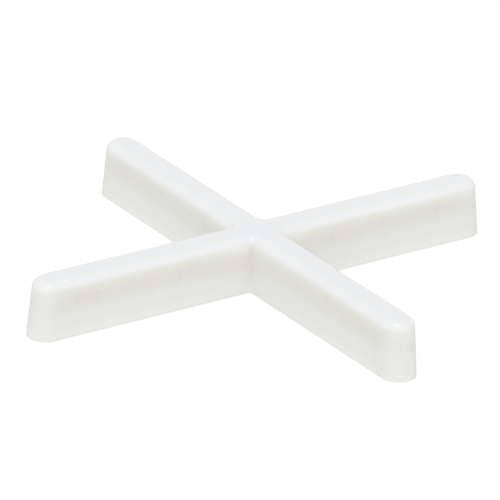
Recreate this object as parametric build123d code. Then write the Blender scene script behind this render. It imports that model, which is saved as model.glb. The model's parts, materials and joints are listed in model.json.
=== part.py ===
from build123d import *
from math import atan, cos, radians, sin, tan
import os

# Tile spacer: one solid moulded cross that keeps the joint open between four tiles.
# Origin in the middle of the flat base, +Z up, arms along X and Y, millimetres.

# Driving dimensions
joint_width = 3.0          # width of an arm at the base, which is the joint between two tiles
half_span = 21.5           # middle of the cross to the end of an arm, at the base
height = 4.9               # base to top face
side_draft = 1.5           # lean of the long sides, in degrees
end_draft = 5.7            # lean of the round ends, in degrees
edge_round = 0.85          # soft rounding all round the top face
corner_round = 0.4         # rounding of the four inner corners, where the tile corners sit
pin_diameter = 2.5         # round mark of an ejector pin, near the end of each arm
pin_reach = 18.1           # middle of the cross to the middle of a pin mark
pin_depth = 0.05           # how far a pin mark is pressed into the top face

# The sides and each round end narrow towards one point, high above the end.
# A round end is a cone from that point, leaned until both sides are tangent to it.
side_lean = radians(side_draft)
end_lean = radians(end_draft)
top_width = joint_width - 2 * height * tan(side_lean)
point_height = joint_width / 2 / tan(side_lean)
point_reach = half_span - point_height * tan(end_lean)
cone_angle = atan(cos(end_lean) * sin(side_lean) / (1 - sin(end_lean) * sin(side_lean)))
cone_lean = end_lean - cone_angle


# Where the straight sides of an arm turn into its round end, at one level
def straight_reach(level):
    return point_reach + (point_height - level) * tan(cone_lean) / cos(side_lean) ** 2


# Flat-sided block with one outline all along its length, the length centred on the plane
def block(plane, outline, length):
    face = Face(Wire.make_polygon([plane.from_local_coords(point) for point in outline]))
    along = plane.z_dir * length
    return Solid.extrude(face, along).moved(Location(along * -0.5))


# Straight bar through the middle that makes two opposite arms, up to the round ends
def arm_bar():
    side = joint_width / 2
    top = top_width / 2
    low = straight_reach(0)
    high = straight_reach(height)
    across = [(-side, 0), (side, 0), (top, height), (-top, height)]
    along = [(-low, 0), (low, 0), (high, height), (-high, height)]
    section = block(Plane.YZ, across, 3 * half_span)
    return section & block(Plane.XZ, along, 3 * joint_width)


# Round end of the arm on +X: the outer half of the leaned cone, between base and top
def round_end():
    tall = point_height / cos(cone_lean) + joint_width
    axis = Plane(
        (point_reach + tall * sin(cone_lean), 0, point_height - tall * cos(cone_lean)),
        x_dir=(cos(cone_lean), 0, sin(cone_lean)),
        z_dir=(-sin(cone_lean), 0, cos(cone_lean)),
    )
    cone = Solid.make_cone(tall * tan(cone_angle), 0, tall, axis)
    low = straight_reach(0)
    high = straight_reach(height)
    outer = [(low, 0), (half_span + joint_width, 0), (half_span + joint_width, height), (high, height)]
    return cone & block(Plane.XZ, outer, 2 * joint_width)


# Both bars and the four round ends in one, with the inner corners rounded
def drafted_cross():
    bar = arm_bar()
    cross = bar + bar.rotate(Axis.Z, 90)
    for turn in range(4):
        cross += round_end().rotate(Axis.Z, 90 * turn)
    cross = cross.clean().solid()
    near = joint_width
    upright = [
        edge for edge in cross.edges()
        if abs(edge.center().X) < near and abs(edge.center().Y) < near
        and edge.bounding_box().size.Z > height / 2
    ]
    return cross.fillet(corner_round, upright)


# The soft rounding where the top face meets the sides and the round ends
def rounded_cross():
    cross = drafted_cross()
    top_edges = cross.faces().sort_by(Axis.Z)[-1].edges()
    return cross.fillet(edge_round, top_edges)


# Ejector-pin marks: inside each circle the top is the same surface set a little lower
def pin_mark_cuts(cross):
    lowered = cross.moved(Location((0, 0, -pin_depth)))
    edge_start = Plane((pin_reach, 0, height - edge_round))
    cuts = []
    for turn in range(4):
        pin = Solid.make_cylinder(pin_diameter / 2, height, edge_start)
        cuts.append(pin.rotate(Axis.Z, 90 * turn).cut(lowered))
    return cuts


def tile_spacer():
    cross = rounded_cross()
    return cross.cut(*pin_mark_cuts(cross))


os.makedirs("parts", exist_ok=True)
export_step(tile_spacer(), "parts/tile_spacer.step")
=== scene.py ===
# %% [markdown]
# # A tile spacer in white plastic
# The object is a small plus-shaped spacer that a tiler pushes between the corners of four tiles. It is
# one injection moulding, so it has no joints and no separate parts: one piece stands for the whole of it.
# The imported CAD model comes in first. It fixes the place and the outer sizes that everything here keeps.
# What a new Blender file holds, a cube, a light and a camera, is taken away before anything is measured.

# %% The frame
import json
from math import asin, atan2, cos, exp, pi, radians, sin, tan

import bmesh
import bpy
from mathutils import Matrix, Vector, noise

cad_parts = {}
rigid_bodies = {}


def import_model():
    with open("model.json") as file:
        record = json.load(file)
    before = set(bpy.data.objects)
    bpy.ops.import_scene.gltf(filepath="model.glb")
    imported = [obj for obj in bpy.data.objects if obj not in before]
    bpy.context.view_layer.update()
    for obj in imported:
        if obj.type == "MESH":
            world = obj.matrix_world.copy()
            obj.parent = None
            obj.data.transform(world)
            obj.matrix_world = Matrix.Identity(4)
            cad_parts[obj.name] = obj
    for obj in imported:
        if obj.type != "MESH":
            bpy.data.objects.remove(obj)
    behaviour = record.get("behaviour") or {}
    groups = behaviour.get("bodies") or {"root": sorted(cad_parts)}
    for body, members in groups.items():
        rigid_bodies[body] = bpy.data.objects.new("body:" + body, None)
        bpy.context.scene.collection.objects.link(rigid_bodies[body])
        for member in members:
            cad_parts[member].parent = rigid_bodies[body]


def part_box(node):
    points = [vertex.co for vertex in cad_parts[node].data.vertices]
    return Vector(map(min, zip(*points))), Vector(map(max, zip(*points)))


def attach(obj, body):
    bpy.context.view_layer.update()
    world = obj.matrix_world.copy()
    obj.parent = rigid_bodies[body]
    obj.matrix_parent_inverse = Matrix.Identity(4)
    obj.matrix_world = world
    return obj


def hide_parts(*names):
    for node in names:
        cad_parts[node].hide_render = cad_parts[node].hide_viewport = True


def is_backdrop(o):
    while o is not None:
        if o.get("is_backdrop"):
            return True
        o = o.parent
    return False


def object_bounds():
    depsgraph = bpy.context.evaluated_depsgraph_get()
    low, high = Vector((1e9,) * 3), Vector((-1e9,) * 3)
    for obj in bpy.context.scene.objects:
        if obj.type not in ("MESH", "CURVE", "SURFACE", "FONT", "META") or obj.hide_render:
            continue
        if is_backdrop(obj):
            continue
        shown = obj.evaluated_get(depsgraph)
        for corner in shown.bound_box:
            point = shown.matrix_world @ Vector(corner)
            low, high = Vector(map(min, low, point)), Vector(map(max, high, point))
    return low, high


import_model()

for leftover in [o for o in bpy.data.objects if o.name in ("Cube", "Light", "Camera")]:
    bpy.data.objects.remove(leftover)
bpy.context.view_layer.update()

# %% [markdown]
# ## The sizes of the moulding
# The mesh is modelled in millimetres, because distances of a few hundredths matter on a part this small,
# and it is brought to metres as its last step. Span and height are read from the CAD node. The rest are
# the mould maker's numbers: every wall leans inwards, so that the part leaves the mould, and the round
# ends lean more than the long sides.

# %% Sizes in millimetres
high_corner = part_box("tile_spacer")[1]
half_span = 1000 * high_corner.x
height = 1000 * high_corner.z
base_half = 1.5                              # half the width of an arm at the base
side_draft = radians(1.5)                    # lean of the long sides
end_draft = radians(5.7)                     # lean of the round ends
edge_round = 0.85                            # rounding all round the top
corner_round = 0.4                           # rounding of the four inner corners
base_round = 0.03                            # the base edge is crisp, but not a knife edge

top_half = base_half - height * tan(side_draft)
flat_half = top_half - edge_round * tan((pi / 2 - side_draft) / 2)
print("half span, height, half width on top:", round(half_span, 2), round(height, 2), round(top_half, 3))

# %% [markdown]
# ## Half a section of an arm
# Cut across, an arm is a narrow block with two softly rounded top edges. Only the half on one side of
# its middle line is drawn, as a bent wire: along the top, over the rounding, down the wall and back under
# the base. Bevel rounds the wire's two corners, and subdivide_edges gives the wire its rows of points,
# which become the rows of the mesh. The top and the rounding have rows of nearly one width, because the
# pin marks are pulled out of that net later on.

# %% The bent wire
top_rows, round_rows, wall_rows, base_rows, base_round_rows = 5, 12, 18, 4, 3
corner_start = base_half + corner_round      # where the straight wall begins, from the middle
longest_row = 0.3                            # the rows of the two roundings are shorter than this
level_slack = 0.01


def bevel_corner(mesh, corner, radius, opening, rows):
    """Rounds one corner of a wire whose two sides meet at the angle opening."""
    bmesh.ops.bevel(
        mesh, geom=[corner], offset=radius / tan(opening / 2), offset_type="OFFSET",
        segments=rows, profile=0.5, affect="VERTICES", material=-1, clamp_overlap=False,
    )


def edge_along(mesh, low, high):
    """The wire's straight edge whose middle lies between two heights and is longer than a row."""
    return [
        edge for edge in mesh.edges
        if low < (edge.verts[0].co.z + edge.verts[1].co.z) / 2 < high and edge.calc_length() > longest_row
    ]


arm = bmesh.new()
wire_corners = [(0, height), (top_half, height), (base_half, 0), (0, 0)]
wire = [arm.verts.new((corner_start, y, z)) for y, z in wire_corners]
for one, other in zip(wire, wire[1:]):
    arm.edges.new((one, other))
bevel_corner(arm, wire[1], edge_round, pi / 2 + side_draft, round_rows)
bevel_corner(arm, wire[2], base_round, pi / 2 - side_draft, base_round_rows)
straight_edges = [
    (height - level_slack, height + level_slack, top_rows),
    (1, 3, wall_rows),
    (-level_slack, level_slack, base_rows),
]
for low, high, rows in straight_edges:
    bmesh.ops.subdivide_edges(arm, edges=edge_along(arm, low, high), cuts=rows - 1)
print("points on the half section:", len(arm.verts))

# %% [markdown]
# ## One eighth of the cross
# The spacer is the same eight times over, so only one eighth is modelled: half the width of one arm, from
# the diagonal of the cross to the tip. The section is extruded along the straight run in steps, which are
# closer together where the pin mark will be. At the tip it is spun a quarter turn about an upright axis,
# which makes the round end. At the inner corner it is spun the other way, by an eighth of a turn about
# the centre of the corner's rounding.

# %% Steps of the straight run
apex_height = base_half / tan(side_draft)    # where both sides and the end would meet, high above
apex_reach = half_span - apex_height * tan(end_draft)
end_centre = half_span - base_half           # axis of the round end, at the base
mark_reach = 18.1                            # middle of the cross to the middle of a pin mark
mark_cells = top_rows + round_rows           # the mark's block is that many cells to each side
mark_step = 0.0915
plain_steps = 46

top_share = height / apex_height
mark_station = (mark_reach - apex_reach * top_share) / (1 - top_share)     # before the end leans
mark_start = mark_station - mark_cells * mark_step
steps = [(mark_start - corner_start) / plain_steps] * plain_steps + [mark_step] * (2 * mark_cells)
steps.append(end_centre - corner_start - sum(steps))
print("longest and shortest step in mm:", round(max(steps), 3), round(min(steps), 3))

# %% The straight run


def of_type(geometry, kind):
    """The items of one kind among those that an operator gives back."""
    return [item for item in geometry if isinstance(item, kind)]


start_verts, start_edges = arm.verts[:], arm.edges[:]
front_verts, front_edges = start_verts, start_edges
for step in steps:
    grown = bmesh.ops.extrude_edge_only(arm, edges=front_edges)["geom"]
    front_verts = of_type(grown, bmesh.types.BMVert)
    fresh = set(front_verts)
    front_edges = [
        edge for edge in of_type(grown, bmesh.types.BMEdge) if all(vertex in fresh for vertex in edge.verts)
    ]
    bmesh.ops.translate(arm, vec=(step, 0, 0), verts=front_verts)
print("straight run to", round(max(v.co.x for v in arm.verts), 3), "mm in", len(steps), "steps")

# %% The round end and the inner corner
end_steps, corner_steps = 14, 6
merge_distance = 0.0005                      # points nearer to each other than this are one

bmesh.ops.spin(
    arm, geom=front_verts + front_edges, cent=(end_centre, 0, 0), axis=(0, 0, 1), dvec=(0, 0, 0),
    angle=-pi / 2, steps=end_steps, use_merge=False,
)
bmesh.ops.spin(
    arm, geom=start_verts + start_edges, cent=(corner_start, corner_start, 0), axis=(0, 0, 1),
    dvec=(0, 0, 0), angle=-pi / 4, steps=corner_steps, use_merge=False,
)
bmesh.ops.remove_doubles(arm, verts=arm.verts, dist=merge_distance)
print("faces on one eighth:", len(arm.faces))

# %% [markdown]
# ## The flat parts in the middle
# The spin about the inner corner leaves the top and the base short of the centre of the cross, because
# their points swing round on arcs. The two flats are drawn in to the middle: each point keeps its share of
# the way from the arm's middle line to the start of the rounding, and the row on the middle line becomes
# straight.

# %% Draw the flats in
corner_centre = Vector((corner_start, corner_start))
base_flat_half = base_half - base_round * tan((pi / 2 + side_draft) / 2)


def draw_in(vertex, limit):
    """Moves a spun point of a flat to its share of the way between the middle line and the rounding."""
    away = vertex.co.xy - corner_centre
    turn = atan2(-away.x, -away.y)
    share = (corner_start - away.length) / limit
    edge_point = corner_centre - (corner_start - limit) * Vector((sin(turn), cos(turn)))
    line_point = Vector((corner_start * (1 - turn / (pi / 4)), 0))
    vertex.co.xy = line_point.lerp(edge_point, share)


drawn = 0
for vertex in arm.verts:
    if vertex.co.x < corner_start - merge_distance:
        flat_limit = flat_half if vertex.co.z > height / 2 else base_flat_half
        is_flat = vertex.co.z > height - merge_distance or vertex.co.z < merge_distance
        inside = (vertex.co.xy - corner_centre).length > corner_start - flat_limit + merge_distance
        if is_flat and inside:
            draw_in(vertex, flat_limit)
            drawn += 1
print("points drawn in to the middle:", drawn)

# %% [markdown]
# ## The lean of the end
# The spin gave the round end the small lean of the long sides. The real end leans more. Sides and end run
# to one point high above the arm, so the section at any height is the base's outline made smaller towards
# that point. A shear does it: the higher a point is, the further it moves back along the arm, and nothing
# moves that is nearer the middle than that point stands.

# %% Lean the end


def leaned(x, z):
    """Where a point x along the arm comes to at the height z."""
    return x - max(0, min(x, end_centre) - apex_reach) * z / apex_height


for vertex in arm.verts:
    vertex.co.x = leaned(vertex.co.x, vertex.co.z)
tip = max(v.co.x for v in arm.verts if v.co.z > height - edge_round)
print("reach at the base and at the top of the wall:", round(half_span, 3), round(tip, 3))

# %% [markdown]
# ## The pin mark
# Near each tip an ejector pin has pushed the part out of the mould. It leaves a round print that follows
# the surface: a soft hollow a few hundredths deep, with an uneven ridge round it, higher towards the tip,
# where plastic was pressed outwards. A square block of the net is pulled into rings for it: the square
# rings of points round the mark's middle become circles up to the rim, and further out they turn back into
# squares. So hollow and ridge are true loops of the mesh, and no cut is needed.

# %% The rings of the mark
rim_ring = 12
ring_radii = [0, 0.16, 0.32, 0.47, 0.62, 0.74, 0.86, 0.97, 1.06, 1.12, 1.165, 1.205, 1.245]
outer_shares = [0.0, 0.13, 0.33, 0.55, 0.78, 1.0]      # how square the rings outside the rim are
mark_depth = 0.026
hollow = [-mark_depth] * 5 + [-0.024, -0.018, -0.010, -0.004, -0.001]
ridge = {6: 0.002, 7: 0.008, 8: 0.018, 9: 0.027, 10: 0.029, 11: 0.019, 12: 0.003}
inner_ridge = 0.25                           # its height towards the middle of the cross, as a share
print("across the mark's rim and the top of its ridge:", 2 * ring_radii[rim_ring], 2 * ring_radii[10])

# %% [markdown]
# A point of the net is named by two distances: how far along the arm it is, and how far from the middle
# line when one walks over the top. The second is its girth. It runs on over the rounding, so that a mark
# drawn with it lies on the curved skin.

# %% Distances over the rounded top
round_length = edge_round * (pi / 2 - side_draft)
row_girths = [flat_half * k / top_rows for k in range(top_rows)]
row_girths += [flat_half + round_length * k / round_rows for k in range(round_rows + 1)]


def ease(low, high, value):
    """0 at low, 1 at high, with soft ends."""
    share = max(0.0, min(1.0, (value - low) / (high - low)))
    return share * share * (3 - 2 * share)


def girth_of(y, z):
    """Distance from the middle line over the top to a point on the flat or the rounding."""
    if y <= flat_half:
        return y
    return flat_half + edge_round * atan2(y - flat_half, z - (height - edge_round))


def on_skin(x, girth, lift):
    """The point at that distance over the top, lifted off the surface."""
    turn = max(0, girth - flat_half) / edge_round
    out = (edge_round + lift) * sin(turn)
    up = (edge_round + lift) * cos(turn)
    return Vector((x, min(girth, flat_half) + out, height - edge_round + up))


print("girth where the rounding begins and ends:", round(flat_half, 3), round(row_girths[-1], 3))

# %% A point's place in the rings


def at(values, place):
    """Value at a place between two entries of a list."""
    low = min(int(place), len(values) - 2)
    return values[low] + (values[low + 1] - values[low]) * (place - low)


def on_outer_square(across, over):
    """Where the net's outermost ring has the place (across, over), counted in cells from the mark."""
    girth = at(row_girths, over)
    level = on_skin(0, girth, 0).z
    return leaned(mark_station + across * mark_step, level), girth


def ring_place(across, over):
    """New place along the arm, new girth and lift of a point of the block."""
    ring = max(abs(across), over)
    if ring == 0:
        return mark_reach, 0, -mark_depth
    turn = pi / 4 * over / abs(across) if abs(across) >= over else pi / 2 - pi / 4 * abs(across) / over
    side = 1 if across >= 0 else -1
    radius = ring_radii[min(ring, rim_ring)]
    x = mark_reach + side * radius * cos(turn)
    y = radius * sin(turn)
    girth = y if y <= flat_half else flat_half + edge_round * asin((y - flat_half) / edge_round)
    if ring > rim_ring:
        square_x, square_girth = on_outer_square(across * mark_cells / ring, over * mark_cells / ring)
        share = outer_shares[ring - rim_ring]
        x += (square_x - x) * share
        girth += (square_girth - girth) * share
    lift = hollow[ring] if ring < len(hollow) else 0
    lift += ridge.get(ring, 0) * (inner_ridge + (1 - inner_ridge) * ease(-0.2, 0.5, side * cos(turn)))
    return x, girth, lift


print("ridge towards the tip and towards the middle:", ring_place(10, 0)[2], ring_place(-10, 0)[2])

# %% Pull the net into rings
pulled = 0
for vertex in arm.verts:
    x, y, z = vertex.co
    if z < height - edge_round or x < apex_reach:
        continue
    over = min(range(mark_cells + 1), key=lambda k: abs(row_girths[k] - girth_of(y, z)))
    base_x = (x - apex_reach * z / apex_height) / (1 - z / apex_height)
    across = round((base_x - mark_station) / mark_step)
    if abs(across) < mark_cells and over < mark_cells:
        vertex.co = on_skin(*ring_place(across, over))
        pulled += 1
print("points pulled into rings:", pulled)

# %% [markdown]
# ## The sunk walls
# Thick plastic shrinks as it cools, and the long walls are drawn in a little where the arm is thickest.
# The hollow starts just under the rounded edge, is deepest at about half the height and runs out towards
# the base, and it ends before the stiff round tip and before the inner corner. It is less than a tenth of
# a millimetre deep, but it turns the upper half of the wall away from the light, and that band is seen.
# The depth is given by a share from 0 to 1, made of soft steps along the arm and up the wall.

# %% Sink the long walls
sink_depth = 0.07
wall_slack = 0.1                             # so far in from top_half a point still counts as wall


def sink_share(along, level):
    """How far the wall has sunk, from 0 to 1, at a distance from the middle and a share of the height."""
    lengthwise = ease(2.0, 3.4, along) * (1 - ease(18.0, 19.4, along))
    return lengthwise * ease(0.88, 0.60, level) * ease(0.02, 0.55, level)


sunk = 0
for vertex in arm.verts:
    x, y, z = vertex.co
    if y > top_half - wall_slack and x > corner_start and z < height - edge_round:
        vertex.co.y -= sink_depth * sink_share(x, z / height)
        sunk += 1
print("points on the sunk wall:", sunk, "and its full depth in mm:", sink_depth)

# %% [markdown]
# ## The whole cross
# Mirror makes the other half of the arm, and three turned copies make the other arms. Their seams lie on
# the middle lines and on the diagonals, where the points of both sides are the same, so merging doubles
# closes the skin. The mirrored half is inside out until the normals are recalculated.

# %% Mirror, turn, merge
seam_distance = 0.002

everything = arm.verts[:] + arm.edges[:] + arm.faces[:]
bmesh.ops.mirror(arm, geom=everything, axis="Y", merge_dist=merge_distance)
one_arm = arm.verts[:] + arm.edges[:] + arm.faces[:]
for quarter in (1, 2, 3):
    copied = bmesh.ops.duplicate(arm, geom=one_arm)["geom"]
    turned = of_type(copied, bmesh.types.BMVert)
    bmesh.ops.rotate(arm, verts=turned, cent=(0, 0, 0), matrix=Matrix.Rotation(quarter * pi / 2, 3, "Z"))
bmesh.ops.remove_doubles(arm, verts=arm.verts, dist=seam_distance)
bmesh.ops.recalc_face_normals(arm, faces=arm.faces)
open_edges = sum(not edge.is_manifold for edge in arm.edges)
print("faces:", len(arm.faces), "open edges:", open_edges, "volume in mm3:", round(arm.calc_volume(), 1))

# %% [markdown]
# ## Painted shade, painted light and smudges
# The skin's colour isn't the same all over. Painted shade makes a darker band under the rounded edge,
# deepest in the inner corners, with soft smudges in it. Just under the edge that painted shade is warm,
# most on the right arm and beside the inner corners. Painted light makes the foot of the walls paler, as
# if lit by the table, and also the walls beside the inner corners. Each of these is a share from 0 to 1
# again, at a distance along the arm from the middle of the cross and at a share of the height, so that the
# material needs only a few numbers on the mesh. The pairs of numbers below say between which two places a
# share comes or goes.

# %% Shares of the skin


def on_end(along):
    """0 on the long walls, 1 on the round end."""
    return ease(18.4, 20.4, along)


def in_band(level):
    """1 at the heights of the band of painted shade, 0 above and below it."""
    return ease(0.83, 0.66, level) * ease(0.33, 0.58, level)


def painted_shade_share(along, level):
    """Strength of the painted shade: a darker band under the rounded edge, deepest in the inner corners."""
    corner = (1 - ease(1.6, 1.8, along)) * ease(0.93, 0.72, level) * ease(0.10, 0.45, level)
    beside = 0.25 * (1 - ease(2.5, 6.5, along)) * ease(0.76, 0.64, level) * ease(0.36, 0.46, level)
    return max(corner, 0.75 * (1 - 0.6 * on_end(along)) * in_band(level) + beside)


def stained_share(along, level):
    """Where the band has soft smudges, which are stronger towards the tips."""
    lengthwise = ease(2.5, 5.0, along) * (0.5 + 0.5 * ease(8, 15, along))
    return lengthwise * in_band(level) * (1 - 0.6 * on_end(along))


def painted_warm_shade_share(x, along, level):
    """Strength of the painted warm shade just under the rounded edge, most on the right arm and in the
    inner corners.
    """
    corner = (1 - ease(2.2, 7.0, along)) * ease(0.91, 0.80, level) * ease(0.12, 0.48, level)
    right = 0.45 + 0.55 * ease(-6, 10, x)
    wall = 1 - ease(18.0, 20.0, along)
    return max(corner, right * wall * ease(0.91, 0.79, level) * ease(0.62, 0.76, level))


def painted_light_share(along, level):
    """Strength of the painted light: at the foot of the walls, as if lit by the table, and beside the inner
    corners.
    """
    foot = (1 - 0.55 * on_end(along)) * ease(0.26, 0.02, level)
    beside_corner = (0.3 + 0.5 * ease(1.65, 1.9, along)) * (1 - ease(2.4, 6.0, along))
    under_band = ease(0.17, 0.30, level) * ease(0.57, 0.47, level)
    return max(foot, beside_corner * ease(0.93, 0.84, level) * (1 - 0.7 * under_band))


print("band at half height, beside a corner and further out:", painted_shade_share(3, 0.5), painted_shade_share(10, 0.5))

# %% [markdown]
# ## The burrs and their painted highlights
# On the ridge of each pin mark stands one small burr. It is a soft bump, longer round the mark than
# across the ridge, and no two of them are in the same place or equally high. A painted highlight, a
# near-white spot of the same shape, lies on each. Each is given by its place in the plan and its strength.

# %% Burrs on the ridges
burrs = [
    (Vector((0.98, -18.76)), 1.2), (Vector((18.92, -0.65)), 1.5),
    (Vector((-18.7, 1.02)), 0.8), (Vector((-0.66, 18.92)), 0.6),
]
burr_height = 0.035                          # of a burr of strength 1
burr_width, burr_length = 0.06, 0.13


def burr_and_glint_share(x, y):
    """Strength of the burr, and of the painted highlight on it, at a place in the plan."""
    share = 0.0
    for burr, strength in burrs:
        mark = Vector((mark_reach * round(burr.x / mark_reach), mark_reach * round(burr.y / mark_reach)))
        outward = (burr - mark).normalized()
        offset = Vector((x, y)) - mark
        radial = (offset.length - (burr - mark).length) / burr_width
        sideways = outward.cross(offset) / burr_length
        if offset.dot(outward) > 0:
            share = max(share, strength * exp(-radial * radial - sideways * sideways))
    return share


print("heights of the burrs in mm:", [round(burr_height * strength, 3) for burr, strength in burrs])

# %% [markdown]
# ## Small unevenness
# No two arms of a real moulding are quite alike. A smooth noise moves the sunk walls in and out by about a
# hundredth of a millimetre, in patches about a millimetre long, and the burrs are raised by a few
# hundredths. The shares are kept for the mesh in the order of its points.

# %% Uneven walls, and the shares of every point
uneven_depth = 0.012
patches_per_mm = (0.9, 0.9, 1.4)
wall_reach = flat_half + 0.05                # further out than this a point isn't on the flat top
sunk_slack = 0.2                             # wall_slack with room for the sinking

shares = {name: [] for name in ("painted_shade", "painted_warm_shade", "painted_light", "burr_and_glint", "stained")}
for vertex in arm.verts:
    x, y, z = vertex.co
    along, aside, level = max(abs(x), abs(y)), min(abs(x), abs(y)), z / height
    on_wall = aside > wall_reach or along > end_centre
    # The colour shares: painted shade, painted warm shade, painted light, the burrs with their painted
    # highlights, and the smudges.
    shares["painted_shade"].append(painted_shade_share(along, level) if on_wall else 0.0)
    shares["painted_warm_shade"].append(painted_warm_shade_share(x, along, level) if on_wall else 0.0)
    shares["painted_light"].append(painted_light_share(along, level))
    shares["burr_and_glint"].append(burr_and_glint_share(x, y) if z > height - edge_round else 0.0)
    shares["stained"].append(stained_share(along, level) if on_wall else 0.0)
    vertex.co.z += burr_height * shares["burr_and_glint"][-1]
    if aside > top_half - sunk_slack and along > corner_start and z < height - edge_round:
        patch = noise.noise(Vector([side * scale for side, scale in zip((x, y, z), patches_per_mm)]))
        shift = uneven_depth * sink_share(along, level) * patch
        if abs(y) < abs(x):
            vertex.co.y += shift * (1 if y > 0 else -1)
        else:
            vertex.co.x += shift * (1 if x > 0 else -1)
print("highest share of each kind:", {name: round(max(values), 2) for name, values in shares.items()})

# %% [markdown]
# The operators list the faces in an order that changes from run to run, so they are put in the order of
# their points first. Then the mesh is brought to metres and smoothed, and the shares go onto it as
# attributes. Its object sits at the origin, rides on the only body and stands for the CAD node.

# %% The piece
arm.verts.index_update()
point_count = len(arm.verts)
arm.faces.sort(key=lambda face: face.verts[0].index * point_count + face.verts[2].index)
for face in arm.faces:
    face.smooth = True
bmesh.ops.scale(arm, vec=(0.001, 0.001, 0.001), verts=arm.verts)
spacer_mesh = bpy.data.meshes.new("tile_spacer_white")
arm.to_mesh(spacer_mesh)
arm.free()
for name, values in shares.items():
    spacer_mesh.attributes.new(name, "FLOAT", "POINT").data.foreach_set("value", values)
spacer = bpy.data.objects.new("spacer", spacer_mesh)
bpy.context.scene.collection.objects.link(spacer)
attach(spacer, "root")
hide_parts("tile_spacer")
print("points:", len(spacer_mesh.vertices), "with", len(shares), "shares each")

# %% [markdown]
# ## The plastic
# The real one is white polyethylene or polypropylene as it comes from the mould: a little cloudy, with a
# smooth skin that still mirrors a lamp. It is one Principled material, and its colour is built up in
# layers. Four small helpers keep that short. An input of a node is given either a value or the output of
# another node, and then the two are linked.

# %% Node helpers


def new_material(name):
    """An empty node material and its tree."""
    material = bpy.data.materials.new(name)
    material.use_nodes = True
    material.node_tree.nodes.clear()
    return material, material.node_tree


def add(tree, kind, place, inputs=None, **settings):
    """A node of one kind, at a place in the editor, with its settings and its inputs."""
    node = tree.nodes.new(kind)
    node.location = place
    for key, value in settings.items():
        setattr(node, key, value)
    for socket, value in (inputs or {}).items():
        if isinstance(value, bpy.types.NodeSocket):
            tree.links.new(value, node.inputs[socket])
        else:
            node.inputs[socket].default_value = value
    return node


def times(tree, place, one, other):
    """Two shares multiplied."""
    return add(tree, "ShaderNodeMath", place, {0: one, 1: other}, operation="MULTIPLY").outputs["Value"]


def layer(tree, place, under, tint, share, blend="MIX"):
    """A colour laid over the one under it, as strongly as the share says."""
    inputs = {"A": under, "B": (*tint, 1), "Factor": share}
    return add(tree, "ShaderNodeMix", place, inputs, data_type="RGBA", blend_type=blend).outputs["Result"]


plastic, tree = new_material("white_plastic")
on_piece = add(tree, "ShaderNodeTexCoord", (-900, 0)).outputs["Object"]
on_mesh = {
    name: add(tree, "ShaderNodeAttribute", (-900, 400 + 200 * row), attribute_name=name).outputs["Fac"]
    for row, name in enumerate(shares)
}
print("shares that the material reads:", list(on_mesh))

# %% [markdown]
# The first layer is a slow noise between two whites, which are slightly blue: the cloudiness. Over it come
# the painted warm shade under the edge and the darker band of painted shade. A finer noise makes both of
# them blotchy.

# %% Cloudy white, painted warm shade, painted shade band
cloud = add(tree, "ShaderNodeTexNoise", (-600, 200), {"Vector": on_piece, "Scale": 260, "Detail": 3})
colour = layer(tree, (-300, 200), (0.863, 0.87, 0.883, 1), (0.883, 0.89, 0.903), cloud.outputs["Fac"])

blotch = add(tree, "ShaderNodeTexNoise", (-600, 500), {"Vector": on_piece, "Scale": 1400, "Detail": 3})
blotch_span = {"Value": blotch.outputs["Fac"], "To Min": 0.75, "To Max": 1.25}
uneven = add(tree, "ShaderNodeMapRange", (-450, 500), blotch_span).outputs["Result"]
# Painted warm shade just under the rounded edge, most on the right arm and beside the inner corners.
painted_warm_shade_mask = times(tree, (-300, 500), on_mesh["painted_warm_shade"], uneven)
colour = layer(tree, (-150, 200), colour, (0.884, 0.877, 0.856), painted_warm_shade_mask)
# Painted shade: the darker band under the rounded edge, deepest in the inner corners.
painted_shade_mask = times(tree, (-150, 500), on_mesh["painted_shade"], uneven)
colour = layer(tree, (0, 200), colour, (0.825, 0.811, 0.799), painted_shade_mask)
print("nodes so far:", len(tree.nodes))

# %% [markdown]
# The smudges are the bright spots of one more noise, cut out by a range. The noise is slid a little, so
# that they fall where the real ones are, near the tips. The painted light is made by multiplying, which
# keeps the tint of what is under it, and the painted highlights on the burrs are nearly pure white.

# %% Smudges, painted light, painted highlights on the burrs
slid = add(tree, "ShaderNodeMapping", (-900, 1500), {"Vector": on_piece, "Location": (0, -0.0009, 0)})
stain_inputs = {"Vector": slid.outputs["Vector"], "Scale": 800, "Detail": 2}
stain = add(tree, "ShaderNodeTexNoise", (-600, 800), stain_inputs)
spot_span = {"Value": stain.outputs["Fac"], "From Min": 0.55, "From Max": 0.75}
spots = add(tree, "ShaderNodeMapRange", (-300, 800), spot_span)
smudge_mask = times(tree, (0, 500), spots.outputs["Result"], on_mesh["stained"])
colour = layer(tree, (150, 200), colour, (0.795, 0.772, 0.752), smudge_mask)
# Painted light, as if from the table, at the foot of the walls and beside the inner corners.
colour = layer(tree, (300, 200), colour, (1.062, 1.063, 1.065), on_mesh["painted_light"], blend="MULTIPLY")
# Painted highlight on each burr, nearly pure white.
colour = layer(tree, (450, 200), colour, (1.0, 1.0, 0.99), on_mesh["burr_and_glint"])
print("nodes so far:", len(tree.nodes))

# %% [markdown]
# The last layer is grey. The specks are the middles of a few Voronoi cells. The one scuff, near the middle
# of the cross, is a small ellipsoid that the piece's coordinates are measured in: a Mapping node of the
# texture type puts its centre, turn and half axes in place, and the length is then 1 on its surface.

# %% Specks and one scuff
dust = add(tree, "ShaderNodeTexVoronoi", (150, 900), {"Vector": on_piece, "Scale": 600})
speck_span = {"Value": dust.outputs["Distance"], "From Min": 0.05, "From Max": 0.02}
speck = add(tree, "ShaderNodeMapRange", (300, 700), speck_span)

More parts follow.
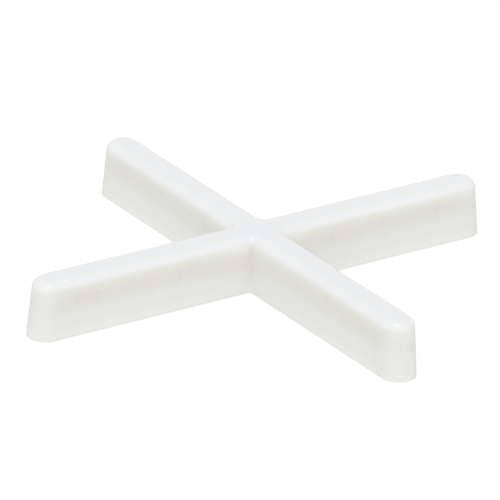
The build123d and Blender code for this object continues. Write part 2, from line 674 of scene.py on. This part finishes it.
scuff_shape = {
    "Vector": on_piece, "Location": (0.00286, -0.00028, 0.0049), "Rotation": (0, 0, radians(40)),
    "Scale": (0.00034, 0.00012, 0.0003),
}
scuff_place = add(tree, "ShaderNodeMapping", (0, 1100), scuff_shape, vector_type="TEXTURE")
from_centre = add(
    tree, "ShaderNodeVectorMath", (150, 1100), {0: scuff_place.outputs["Vector"]}, operation="LENGTH",
)
scuff_span = {"Value": from_centre.outputs["Value"], "From Min": 1.0, "From Max": 0.1, "To Max": 0.9}
scuff = add(tree, "ShaderNodeMapRange", (300, 1100), scuff_span)
both_greys = {0: speck.outputs["Result"], 1: scuff.outputs["Result"]}
grey = add(tree, "ShaderNodeMath", (450, 700), both_greys, operation="MAXIMUM")
colour = layer(tree, (600, 200), colour, (0.77, 0.765, 0.75), grey.outputs["Value"])
print("nodes so far:", len(tree.nodes))

# %% [markdown]
# One fine noise breaks up the reflections: it makes the gloss a little uneven, and as a very shallow
# bump it gives the skin its faint texture.

# %% Gloss, bump and shader
skin = add(tree, "ShaderNodeTexNoise", (-600, -200), {"Vector": on_piece, "Scale": 2500, "Detail": 2})
grain = skin.outputs["Fac"]
gloss = add(tree, "ShaderNodeMapRange", (0, -100), {"Value": grain, "To Min": 0.16, "To Max": 0.22})
bump = add(tree, "ShaderNodeBump", (300, -300), {"Height": grain, "Strength": 0.1, "Distance": 0.00002})
shader_inputs = {
    "Base Color": colour, "Roughness": gloss.outputs["Result"], "Normal": bump.outputs["Normal"],
}
shader = add(tree, "ShaderNodeBsdfPrincipled", (750, 0), shader_inputs)
add(tree, "ShaderNodeOutputMaterial", (1050, 0), {"Surface": shader.outputs["BSDF"]})
spacer_mesh.materials.append(plastic)
print("plastic:", len(tree.nodes), "nodes")

# %% [markdown]
# ## Floor and background
# The photograph shows the spacer on pure white, with much light coming back from the table. So the floor
# is a pale paper, lit like the rest, with a warm glow of its own mixed in for the light that it throws on
# the walls. The camera sees it mostly as plain white of about strength 1, with a small share of the lit
# paper mixed in, so that the shadow stays. From below the floor isn't drawn for the camera.

# %% The floor's sheet
floor_half, floor_gap = 1.5, 0.00002         # metres; the gap keeps it clear of the base
floor_mesh = bpy.data.meshes.new("floor")
sheet = bmesh.new()
bmesh.ops.create_grid(sheet, x_segments=1, y_segments=1, size=floor_half)
bmesh.ops.translate(sheet, vec=(0, 0, -floor_gap), verts=sheet.verts)
sheet.to_mesh(floor_mesh)
sheet.free()
floor = bpy.data.objects.new("floor", floor_mesh)
bpy.context.scene.collection.objects.link(floor)
floor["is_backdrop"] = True
print("floor of", 2 * floor_half, "m,", 1000 * floor_gap, "mm under the base")

# %% The floor's paper


def blended(tree, place, share, first, second):
    """The first shader where the share is 0, the second where it is 1."""
    return add(tree, "ShaderNodeMixShader", place, {"Fac": share, 1: first, 2: second}).outputs["Shader"]


paper, tree = new_material("floor_paper")
lit = add(tree, "ShaderNodeBsdfDiffuse", (-300, 0), {"Color": (0.86, 0.855, 0.84, 1)}).outputs["BSDF"]
glow_inputs = {"Color": (1.0, 0.975, 0.815, 1), "Strength": 0.667}
glow = add(tree, "ShaderNodeEmission", (-300, -200), glow_inputs).outputs["Emission"]
white = add(tree, "ShaderNodeEmission", (-300, 200), {"Strength": 1.02}).outputs["Emission"]
clear = add(tree, "ShaderNodeBsdfTransparent", (300, -300)).outputs["BSDF"]
for_camera = add(tree, "ShaderNodeLightPath", (-300, 500)).outputs["Is Camera Ray"]
underside = add(tree, "ShaderNodeNewGeometry", (0, 500)).outputs["Backfacing"]

table = blended(tree, (0, 0), 0.8, lit, glow)
shown = blended(tree, (0, 200), 0.96, lit, white)
seen = blended(tree, (300, 0), for_camera, table, shown)
surface = blended(tree, (600, 0), times(tree, (300, 300), underside, for_camera), seen, clear)
add(tree, "ShaderNodeOutputMaterial", (900, 0), {"Surface": surface})
floor_mesh.materials.append(paper)
print("paper:", len(tree.nodes), "nodes")

# %% [markdown]
# ## Light
# The photograph has soft light from all round. The world is that light: brightest at the horizon, where
# the rounded edges mirror it, less than half as bright overhead, and a little dimmer on the viewer's side.
# The camera sees plain white instead. Two very broad lamps face the two long walls that are seen, and a
# smaller one high behind the camera makes the points of light on the tips and on the pin marks. The level
# is plain: a colour renders about as it is written, and nothing clips.

# %% World
at_horizon, overhead = (0.974, 1.0, 0.991, 1), (0.454, 0.442, 0.433)
to_viewer, viewer_dimming = (0.823, -0.568, 0), (0.925, 0.895, 0.86)

world = bpy.data.worlds.new("studio")
bpy.context.scene.world = world
world.use_nodes = True
tree = world.node_tree
tree.nodes.clear()
ray = add(tree, "ShaderNodeTexCoord", (-900, 100)).outputs["Generated"]
ray_parts = add(tree, "ShaderNodeSeparateXYZ", (-600, 100), {"Vector": ray})
sky = layer(tree, (-300, 100), at_horizon, overhead, ray_parts.outputs["Z"])
facing = add(tree, "ShaderNodeVectorMath", (-900, 400), {0: ray, 1: to_viewer}, operation="DOT_PRODUCT")
viewer_span = {"Value": facing.outputs["Value"], "From Min": 0.3}
viewer_side = add(tree, "ShaderNodeMapRange", (-600, 400), viewer_span)
shaded = layer(tree, (-150, 300), sky, viewer_dimming, viewer_side.outputs["Result"], blend="MULTIPLY")
soft = add(tree, "ShaderNodeBackground", (0, 100), {"Color": shaded, "Strength": 1.135})
plain = add(tree, "ShaderNodeBackground", (0, -100), {"Color": (1, 1, 1, 1)})
for_camera = add(tree, "ShaderNodeLightPath", (0, 400)).outputs["Is Camera Ray"]
both = blended(tree, (300, 0), for_camera, soft.outputs["Background"], plain.outputs["Background"])
add(tree, "ShaderNodeOutputWorld", (600, 0), {"Surface": both})
print("world:", len(tree.nodes), "nodes")

# %% Lamps
view_azimuth, view_elevation, view_roll = radians(55.38), radians(24.35), radians(2.03)
lamp_energy = 0.4
softbox_colour, softbox_width, softbox_elevation = (0.79, 0.83, 0.93), radians(90), radians(42)


def direction(azimuth, elevation):
    """Unit vector from the object towards a place round it; azimuth 0 is in front, on -Y."""
    return Vector((sin(azimuth) * cos(elevation), -cos(azimuth) * cos(elevation), sin(elevation)))


def add_lamp(name, colour, energy, width, azimuth, elevation):
    """Parallel light from one direction, as from a lamp that looks as wide as the angle width."""
    data = bpy.data.lights.new(name, "SUN")
    data.color = colour
    data.energy = energy
    data.angle = width
    lamp = bpy.data.objects.new(name, data)
    bpy.context.scene.collection.objects.link(lamp)
    towards = direction(azimuth, elevation)
    lamp.rotation_mode = "QUATERNION"
    lamp.rotation_quaternion = towards.to_track_quat("Z", "Y")
    lamp.location = 0.5 * towards


add_lamp("right_softbox", softbox_colour, lamp_energy, softbox_width, radians(90), softbox_elevation)
add_lamp("left_softbox", softbox_colour, lamp_energy, softbox_width, 0, softbox_elevation)
add_lamp("high_lamp", (1.0, 1.0, 1.0), lamp_energy, radians(34), view_azimuth, radians(62))
print("lamps:", [light.name for light in bpy.data.lights])

# %% [markdown]
# ## Camera
# The camera stands in front of the right inner corner, 24 degrees above the floor, with a long lens, and
# it is turned by two degrees. It looks at a point just beside the middle of the cross, so that the object
# sits in the frame as in the photograph.

# %% Camera
lens_length, sensor_width = 554.7, 36        # in mm
distance = 0.6175                            # in metres, as is all that follows
middle = Vector((0, 0, 0.00245))
aside, above = -0.000517, 0.000339           # from the middle to the point that is looked at

back = direction(view_azimuth, view_elevation)
level_right = Vector((cos(view_azimuth), sin(view_azimuth), 0))
level_up = back.cross(level_right)
right = cos(view_roll) * level_right + sin(view_roll) * level_up
up = cos(view_roll) * level_up - sin(view_roll) * level_right
camera_data = bpy.data.cameras.new("camera")
camera_data.sensor_width = sensor_width
camera_data.lens = lens_length
camera = bpy.data.objects.new("camera", camera_data)
bpy.context.scene.collection.objects.link(camera)
looked_at = middle + aside * right + above * up
camera.matrix_world = Matrix.Translation(looked_at + distance * back) @ Matrix((
    (right.x, up.x, back.x), (right.y, up.y, back.y), (right.z, up.z, back.z),
)).to_4x4()
bpy.context.scene.camera = camera
bpy.context.scene.view_settings.view_transform = "Standard"
print("camera at:", [round(side, 4) for side in camera.matrix_world.translation])

# %% [markdown]
# ## The sizes that are kept
# The box of the finished piece is printed in millimetres.

# %% Sizes kept
low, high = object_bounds()
print("visual box in mm:", [round(1000 * side, 3) for side in high - low])
